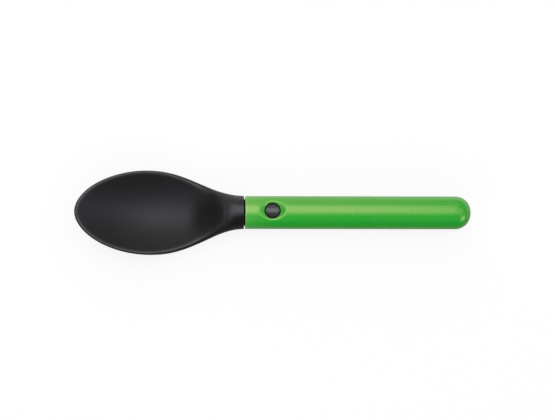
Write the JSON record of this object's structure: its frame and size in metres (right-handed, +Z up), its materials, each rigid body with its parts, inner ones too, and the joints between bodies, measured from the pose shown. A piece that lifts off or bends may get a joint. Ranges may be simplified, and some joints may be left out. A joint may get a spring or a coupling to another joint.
{
  "type": "sliding spoon",
  "caption": "Long-handled camp spoon: a deep oval bowl on a slotted shank that slides into a round domed handle and locks, closed or pulled out, on a sprung push button.",
  "frame": {"origin": "Middle of the closed spoon's length and width, at the height of the lowest point of the bowl, so that the spoon lies on the plane Z = 0.", "axes": "X runs along the spoon from the tip of the bowl (-X) to the domed end of the handle (+X), Y across the bowl, Z up out of the bowl's hollow and through the button."},
  "size_m": [0.165, 0.0356, 0.0163],
  "materials": {
    "black_nylon": "fine matt moulded nylon with a faint grain",
    "green_handle": "satin moulded plastic with a soft wide highlight",
    "grey_button": "satin dark grey moulded plastic",
    "spring_steel": "bright rolled stainless strip"
  },
  "bodies": {
    "handle": {"handle_sleeve": "green_handle", "latch_spring": "spring_steel"},
    "spoon": {"spoon_head": "black_nylon", "shank": "black_nylon"},
    "button": {"lock_button": "grey_button"}
  },
  "joints": [
    {"name": "spoon_slide", "type": "slide", "parent": "handle", "child": "spoon", "axis": [-1, 0, 0], "range_m": [0, 0.07], "deforming": ["latch_spring"]},
    {"name": "button_press", "type": "slide", "parent": "handle", "child": "button", "axis": [0, 0, -1], "range_m": [0, 0.0011], "stiffness_N_per_m": 1500, "deforming": ["latch_spring"]}
  ]
}
